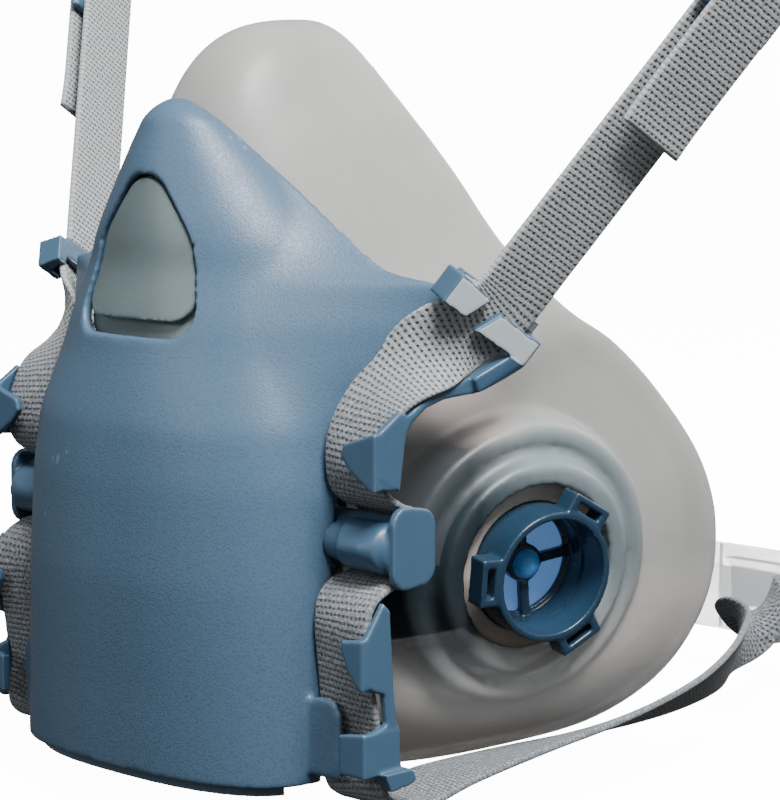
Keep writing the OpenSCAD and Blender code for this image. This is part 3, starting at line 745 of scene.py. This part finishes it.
# Rows of: height, half width, Y of the middle of the front's arc, its depth, how square
# it is, the angle where the wing starts, and X and Y of the wing's tip.
COVER_ROWS = np.array([
    [-61, 35.6, -68, 18, 2.6, 90, 35.9, -67.4], [-45, 35.8, -67, 18.9, 2.55, 90, 36.1, -66.4],
    [-25, 35.8, -66, 20.2, 2.45, 90, 36.1, -65.4], [-8, 35.6, -64.8, 20.8, 2.4, 86, 36.3, -64],
    [2, 34.8, -63.4, 21.4, 2.35, 74, 37.6, -61.6], [9, 33.4, -61.6, 21.7, 2.2, 62, 42, -57.2],
    [14, 32.2, -60.4, 21.8, 2.1, 55, 48.4, -52], [20, 31, -58.8, 22.4, 2.05, 51, 50, -51.4],
    [27.4, 28.9, -56.2, 23.2, 2, 50, 50, -51.4], [28.8, 28.4, -55.8, 23.3, 2, 53, 41, -54.6],
    [31, 27.6, -55.8, 23.1, 2, 60, 37, -55.8], [36.4, 25.2, -56, 22.6, 2, 70, 29, -56.4],
    [41.3, 20.8, -57.6, 19.8, 2, 80, 22, -57], [48, 15, -61.4, 14.6, 2, 90, 15.3, -61],
    [54, 9.6, -65, 9, 2, 90, 9.8, -64.8], [58.6, 4.6, -68.6, 4.2, 2, 90, 4.7, -68.5],
])
COVER_TOP = 58.6
COVER_DROP = 59.5
COVER_WALL = 2.2
ROUNDING = 3.0
WING_TOP = 30
APEX_FROM = 54.4
APEX_H = 4.4
LEVEL_STEP = 0.8
PAD_INSIDE = 3.8
LIP_OUTLINE = [(32, -57.5), (43, -57.5), (43.4, -46), (41.8, -43.6), (38, -43.4), (32, -45)]
LIP_DEPTHS = (-70.8, -69.4)
WINDOW_DEPTHS = (-92, -62)

# X, Z and radius of circles: their hull is an outline.
WINDOW_CIRCLES = [
    (0, 38.4, 7), (-4.6, 31, 7.9), (4.6, 31, 7.9), (-10.2, 21.6, 4.5), (10.2, 21.6, 4.5)
]
PAD_CIRCLES = [
    (0, 38.4, 7), (-4.6, 31.4, 7.9), (4.6, 31.4, 7.9), (-9.9, 24, 4.5), (9.9, 24, 4.5)
]


def cover_table(z):
    """The cover's section values at height z, with the kinks between rows rounded."""
    above = min(max((z - WING_TOP) / 6, 0), 1)
    share = np.linspace(-1, 1, 13)
    weight = np.cos(share * math.pi / 2) + 0.05

    def smooth(column, reach):
        values = np.interp(z + share * reach, COVER_ROWS[:, 0], COVER_ROWS[:, column])
        return np.average(values, weights=weight)

    return [smooth(c, ROUNDING + 3 * above if c < 6 else 6 * above) for c in range(1, 8)]


def half_section(z, inset, more):
    """The cover's left half at height z, from the middle to the wing's end."""
    w, y, d, square, end_angle, tip_x, tip_y = cover_table(z)
    round_off = math.sqrt(max(1 - (max(z - APEX_FROM, 0) / APEX_H) ** 2, 0.1))
    w, d, tip_x = w * round_off, d * round_off, tip_x * round_off
    w0, d0 = w, d
    w, d = max(w - inset, 0.3), max(d - inset, 0.3)

    def arc(angle, w, d):
        a = np.radians(np.minimum(angle, 90))
        cosine = np.maximum(np.cos(a), 0)
        return np.stack([w * np.sin(a) ** (2 / square), y - d * cosine ** (2 / square)], -1)

    front = arc(np.linspace(0, end_angle, 26), w, d)
    tip = np.array([tip_x, tip_y])
    along = unit(tip - arc(end_angle, w0, d0))
    p = front[-1]
    q = p + unit(p - arc(end_angle - 3, w, d)) * 0.45 * np.linalg.norm(tip - p)
    r = tip + inset * np.array([-along[1], along[0]])
    t = np.linspace(0, 1, 15)[1:, None]
    wing = (1 - t) ** 2 * p + 2 * t * (1 - t) * q + t ** 2 * r
    return np.concatenate([front, wing, [r + along * more]])


def cover_block(name, inset, back, drop, short):
    """The cover's outside as a solid, inset all round. It goes back behind the wings,
    down to -drop, and stops short of the cover's top."""
    top = COVER_TOP - short
    levels = np.arange(1.5 - drop, top - 0.9, LEVEL_STEP)
    levels = np.concatenate([[-drop], levels, [top - 0.7, top - 0.4, top - 0.15, top]])
    rings = []
    for z in levels:
        half = half_section(z, inset, 0.05 if back < 1 else 3)
        tip = half[-1]
        ring = [[-tip[0], tip[1] + back + 0.05], *half[:0:-1] * [-1, 1], *half]
        ring.append([tip[0], tip[1] + back + 0.05])
        rings.append([[*p, z] for p in ring])
    return loft(name, rings)


def outline_hull(circles, grow, steps=160):
    """The convex outline round circles of (x, z, r), grown by grow."""
    angles = np.linspace(0, 2 * math.pi, steps, endpoint=False)
    ways = np.stack([np.cos(angles), np.sin(angles)], 1)
    centres = np.array([c[:2] for c in circles], float)
    radii = np.array([c[2] for c in circles], float) + grow
    best = np.argmax(ways @ centres.T + radii, axis=1)
    return centres[best] + ways * radii[best][:, None]


def window_prism(grow, circles):
    """A block through the cover's front, with an outline round circles."""
    outline = outline_hull(circles, grow)
    return loft("prism", [[[x, y, z] for x, z in outline] for y in WINDOW_DEPTHS])


def make_front_cover():
    cover = cover_block("front_cover_shell", inset=0, back=0, drop=COVER_DROP, short=0)
    inside = cover_block("cut", inset=COVER_WALL, back=5, drop=COVER_DROP + 5, short=5)
    boolean(cover, "DIFFERENCE", [inside])
    lips = [
        loft("lip", [[[side * x, y, z] for x, z in LIP_OUTLINE] for y in LIP_DEPTHS])
        for _, side in SIDES
    ]
    boolean(cover, "UNION", lips)
    boolean(cover, "DIFFERENCE", [window_prism(0, WINDOW_CIRCLES)])
    moulded(cover, voxel=0.45, passes=13)
    finish_piece(cover, "front_cover", leather_grain_plastic())


def pad_layer(name, depth, grow, circles):
    """A slice of the pad, depth below the cover's face and cut to an outline."""
    layer = cover_block(name, inset=depth, back=0, drop=40, short=0)
    inside = cover_block("cut", inset=PAD_INSIDE, back=8, drop=45, short=4.5)
    boolean(layer, "DIFFERENCE", [inside])
    return boolean(layer, "INTERSECT", [window_prism(grow, circles)])


def make_window_pad():
    """The pad's base is sunk behind the cover, and its plain face stands up from it."""
    pad = pad_layer("window_pad_soft", 2.6, 0.9, WINDOW_CIRCLES)
    boolean(pad, "UNION", [pad_layer("face", 0.8, -0.55, PAD_CIRCLES)])
    moulded(pad, voxel=0.3, passes=8)
    material = soft_silicone("window_silicone", WINDOW_COLOURS, rough=0.34, clear=0.0, milky=0.2)
    finish_piece(pad, "window_pad", material)


# ---------- straps ----------

WEBBING_W = 14.5
WEBBING_T = 1.3
WEBBING_ROOM = 0.7
YARN_PITCH = 1.12
ROW_PITCH = 1.08
FINE_LESS = 0.3

# The upper run: a point of it at the guide, and its directions along, across and out.
RUN_AT = np.array([56.3, -43, 24.4])
RUN_ALONG = unit([27, 28, 51])
RUN_ACROSS = unit(-np.cross(unit([0.901, -0.291, -0.317]), RUN_ALONG))
RUN_OUT = np.cross(RUN_ACROSS, RUN_ALONG)
FOLD_S = 74
FOLD_R = 1.9
TAIL_S = 36.5
TABS_BELOW = 7.4
STRAP_STEPS = 6
ROOM_STEPS = 5


def run_row(s, n):
    """A row of the upper run, s up from the guide and n out from its middle."""
    return [*(RUN_AT + RUN_ALONG * s + RUN_OUT * n), *RUN_ACROSS]


# Rows of: the middle's X, Y and Z, and the direction of the width.
UPPER_ROWS = [
    run_row(TAIL_S, 2 * FOLD_R + 0.5), run_row(TAIL_S + 8, 2 * FOLD_R),
    run_row(FOLD_S - 6, 2 * FOLD_R),
    *[run_row(FOLD_S + FOLD_R * math.sin(a), FOLD_R * (1 + math.cos(a)))
      for a in np.linspace(0, math.pi, 7)],
    run_row(FOLD_S - 6, 0), run_row(40, 0), run_row(20, 0), run_row(8, 0), run_row(0, 0),
]
GUIDE_ROWS = [
    [54.1, -46.5, 21.2, 0.15, 0.85, -0.51], [50.8, -51.6, 18.2, 0.4, 0.81, -0.43],
    [47.2, -57.6, 13.2, 0.9, 0.4, -0.14], [44.8, -63, 8, 0.99, 0.14, 0.05],
    [44, -66.2, 2.6, 1, 0.05, 0.05], [43.6, -67.3, -2.8, 1, -0.08, 0],
    [43.5, -65.9, -7.2, 1, -0.05, 0], [43.4, -62.4, -9.9, 1, 0, 0],
    [43.2, -59.6, -10.9, 1, 0, 0], [43, -57.8, -12.8, 1, 0, 0],
    [43, -57.3, -17, 1, 0, 0], [43, -58.2, -21, 1, 0, 0],
    [43.2, -61, -23, 1, 0, 0], [43.4, -65, -23.6, 1, 0, 0],
    [43.5, -68.8, -26, 1, -0.08, 0], [43.6, -70.2, -30.4, 1, -0.12, 0],
    [43.4, -69.6, -36, 1, -0.12, 0], [43.3, -68.4, -43, 1, -0.08, 0],
    [43.4, -67.6, -50, 1, 0, 0], [43.8, -68, -55, 1, 0, 0],
    [44.6, -67, -59.4, 1, 0, 0], [45, -63, -61.8, 1, 0, 0],
    [45.8, -57, -61.6, 1, 0.1, 0], [47.4, -48, -59.4, 0.99, 0.14, 0.05],
    [50, -32, -57.4, 0.98, 0.1, 0.2], [51.8, -12, -56, 0.92, 0.05, 0.38],
    [51, 8, -54.6, 0.8, 0.1, 0.6], [47.4, 24, -53.4, 0.6, 0.15, 0.78],
    [42, 38, -52.2, 0.35, 0.2, 0.92], [37, 47, -50.6, 0.1, 0.3, 0.95],
    [33.6, 52.6, -49, -0.5, 0, 0.85], [31.8, 56.4, -48, -1, -0.2, 0.25],
    [30.6, 60.4, -47.6, -0.85, -0.1, -0.5], [29.4, 65, -47.9, -0.3, 0, -0.95],
    [27.8, 72, -48.9, 0, 0, -1], [27, 80.4, -49.5, 0, 0, -1],
    [29.4, 83, -49.5, 0, 0, -1], [32.6, 83.4, -49.5, 0, 0, -1],
    [35.6, 84.6, -49.5, 0, 0, -1], [36.9, 87.1, -49.5, 0, 0, -1],
    [35.4, 89.6, -49.5, 0, 0, -1], [32.4, 90.2, -49.5, 0, 0, -1],
    [29.4, 89, -49.5, 0, 0, -1], [28.4, 87.1, -49.5, 0, 0, -1],
    [28.6, 85.6, -49.5, 0, 0, -1],
]
STRAP_ROWS = UPPER_ROWS + GUIDE_ROWS

# Millimetres along the webbing from where its loops begin, and the row from which its
# weave is finer, below the guide's foot.
LOOPS_FROM = 132
FOOT_ROW = 21


def band_frames(rows, steps):
    """Middle, width direction and face direction along a band, and the length so far."""
    rows = curve(rows, steps)
    middle = rows[:, :3]
    along = unit(np.gradient(middle, axis=0))
    across = rows[:, 3:] - along * np.sum(rows[:, 3:] * along, 1, keepdims=True)
    across = unit(across)
    length = np.concatenate([[0], np.cumsum(np.linalg.norm(np.diff(middle, axis=0), axis=1))])
    return middle, across, np.cross(along, across), length


def band_outline(width, thick, slices, corner):
    """A band's cross-section as (across, out) points, flat with rounded edges."""
    flat = np.linspace(-width / 2 + corner, width / 2 - corner, slices)
    bend = np.radians([22.5, 45, 67.5])
    right = [(width / 2 - corner + corner * math.cos(a), thick / 2 * math.sin(a)) for a in bend[::-1]]
    right += [(width / 2, 0)]
    right += [(width / 2 - corner + corner * math.cos(a), -thick / 2 * math.sin(a)) for a in bend]
    top = [(x, thick / 2) for x in flat]
    bottom = [(x, -thick / 2) for x in flat[::-1]]
    left = [(-x, -z) for x, z in right]
    return np.array(top + right + bottom + left)


def band(name, rows, steps, width, thick, slices=6, corner=0.55):
    """A flat band along rows, with millimetres across and along it as its UV."""
    middle, across, out, length = band_frames(rows, steps)
    outline = band_outline(width, thick, slices, corner)
    rings = (
        middle[:, None] + across[:, None] * outline[None, :, :1] + out[:, None] * outline[None, :, 1:]
    )
    obj = loft(name, rings)
    weave = obj.data.uv_layers.new(name="weave")
    n = len(outline)
    for loop in obj.data.loops:
        i, k = divmod(loop.vertex_index, n)
        i = min(i, len(length) - 1)
        weave.data[loop.index].uv = (outline[k][0] + width / 2, length[i])
    return obj


WEAVE_CHANGE = band_frames(STRAP_ROWS, STRAP_STEPS)[3][(len(UPPER_ROWS) + FOOT_ROW) * STRAP_STEPS]


def make_straps():
    """The left strap, and the right one as its mirror image."""
    material = woven_webbing()
    strap = band("strap_left_webbing", STRAP_ROWS, STRAP_STEPS, WEBBING_W, WEBBING_T)
    twin = mirrored(strap, "strap_right_webbing")
    finish_piece(strap, "strap_left", material)
    twin.data.materials.append(material)
    twin.data.shade_smooth()
    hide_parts("strap_right")
    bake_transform(twin)


# ---------- guides, cradle and clasp ----------

CROWN_W = 18
REAR_W = 14
CRADLE_T = 1.7
CRADLE_STEPS = 6
CROWN_HALF = [
    *[run_row(s, FOLD_R) for s in (60, 70, 79, 90)],
    [97.6, 4, 108, 0.3, 0.85, -0.45], [99, 22, 130, 0.3, 0.9, -0.3],
    [90, 42, 152, 0.3, 0.95, -0.1], [68, 60, 170, 0.15, 0.98, 0],
    [36, 72, 180, 0.05, 1, 0],
]
CROWN_TOP = [0, 76, 183, 0, 1, 0]
REAR_HALF = [
    [98.6, 17, 124, 0.2, 0.5, -0.8], [97, 38, 128, 0.2, 0.2, -1],
    [90, 66, 124, 0.1, 0.1, -1], [74, 98, 116, 0.1, 0, -1],
    [44, 124, 110, 0, 0, -1],
]
REAR_MIDDLE = [0, 134, 108, 0, 0, -1]


def across_head(half, middle):
    """A band's rows on the left, its middle and the same rows on the right."""
    return half + [middle] + [[-r[0], r[1], r[2], -r[3], r[4], r[5]] for r in half[::-1]]


def strap_room(side):
    """The room that a part leaves for the webbing."""
    width, thick = WEBBING_W + WEBBING_ROOM, WEBBING_T + WEBBING_ROOM
    room = band("room", STRAP_ROWS, ROOM_STEPS, width, thick, slices=3)
    if side < 0:
        twin = mirrored(room, "room")
        bpy.data.objects.remove(room)
        room = twin
    return room


def make_crown_cradle(material):
    """The band over the head and the one behind it, with room for the webbing's ends."""
    crown_rows = across_head(CROWN_HALF, CROWN_TOP)
    rear_rows = across_head(REAR_HALF, REAR_MIDDLE)
    cradle = band("crown_cradle_band", crown_rows, CRADLE_STEPS, CROWN_W, CRADLE_T)
    rear = band("rear", rear_rows, CRADLE_STEPS, REAR_W, CRADLE_T)
    boolean(cradle, "UNION", [rear])
    boolean(cradle, "DIFFERENCE", [strap_room(side) for _, side in SIDES])
    moulded(cradle, voxel=0.55, passes=5)
    finish_piece(cradle, "crown_cradle", material)


def make_moulded_pair(kind, material, voxel, passes):
    """Both of a kind of CAD part, with their small edges rounded."""
    left = copy_of_node(kind + "_left", kind + "_left_moulded")
    moulded(left, voxel, passes)
    right = mirrored(left, kind + "_right_moulded")
    finish_piece(left, kind + "_left", material)
    finish_piece(right, kind + "_right", material)


# Radius and height of points round the section of each ring.
GASKET = [
    (12, -8.9), (15.1, -8.9), (15.25, -8.7), (15.25, -8.1), (15, -7.85), (14.2, -7.75),
    (13.4, -7.95), (12.6, -7.8), (12.1, -7.85), (11.98, -8),
]
INHALE_FLAP = [
    (1.7, -12.6), (3.2, -12.6), (4, -12.5), (9.4, -12.5), (9.85, -12.35), (9.85, -12.25),
    (9.4, -12.1), (7.4, -12.05), (7, -11.98), (6.6, -12.04), (4, -11.98), (3.2, -11.88), (1.7, -11.88),
]
EXHALE_FLAP = [
    (1.65, 0.05), (3.4, 0.05), (4.2, 0.12), (12.2, 0.12), (12.9, 0.3), (12.9, 0.42),
    (12.2, 0.6), (9.4, 0.64), (9, 0.72), (8.6, 0.65), (4.2, 0.68), (3.4, 0.76), (1.65, 0.76),
]


def make_soft_pair(kind, profile, material, bodies):
    """Both of a kind of soft ring in the ports."""
    left = turned(kind + "_left_soft", profile, AT_PORT)
    right = mirrored(left, kind + "_right_soft")
    finish_piece(left, kind + "_left", material, bodies[0])
    finish_piece(right, kind + "_right", material, bodies[1])


def make_soft_rings():
    """The port gaskets and the valves' flaps."""
    brown = soft_silicone("gasket_brown", GASKET_COLOURS, rough=0.3, clear=0.05)
    # The inhalation flaps glow with painted light.
    blue = thin_film("inhale_film", INHALE_BLUE, clear=0.0, painted_glow=0.4)
    make_soft_pair("port_gasket", GASKET, brown, ("mask", "mask"))
    make_soft_pair("inhalation_flap", INHALE_FLAP, blue, ("inhale_flap_left", "inhale_flap_right"))
    to_back = Matrix.Translation((0, EXHALE_FLAP_Y, EXHALE_Z)) @ Matrix.Rotation(math.radians(-90), 4, "X")
    flap = turned("exhalation_flap_soft", EXHALE_FLAP, to_back)
    finish_piece(flap, "exhalation_flap", thin_film("exhale_film", EXHALE_CREAM), "exhale_flap")


def paint_kept_nodes():
    """Materials for the CAD nodes whose shapes are kept as they are."""
    adapter = moulded_plastic("adapter_blue", *ADAPTER_COLOURS, rough=0.36)
    post = moulded_plastic("post_blue", *POST_COLOURS)
    kept = {
        "center_adapter": adapter,
        "exhalation_seat": adapter,
        "valve_post_left": post,
        "valve_post_right": post,
        "neck_clasp_catch": clear_plastic("clasp_catch"),
        "neck_clasp_hook": clear_plastic("clasp_hook"),
    }
    for node, material in kept.items():
        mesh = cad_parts[node].data
        mesh.materials.clear()
        mesh.materials.append(material)


# ---------- all of it ----------

make_camera()
make_studio()
make_front_cover()
make_window_pad()
make_face_seal()
make_straps()
make_moulded_pair("strap_guide", guide_plastic(), voxel=0.3, passes=5)
make_crown_cradle(moulded_plastic("cradle_blue", *CRADLE_COLOURS, rough=0.42))
make_moulded_pair("filter_port", moulded_plastic("port_blue", *PORT_COLOURS), voxel=0.22, passes=14)
make_soft_rings()
paint_kept_nodes()
make_floor(cad_box[0].z)
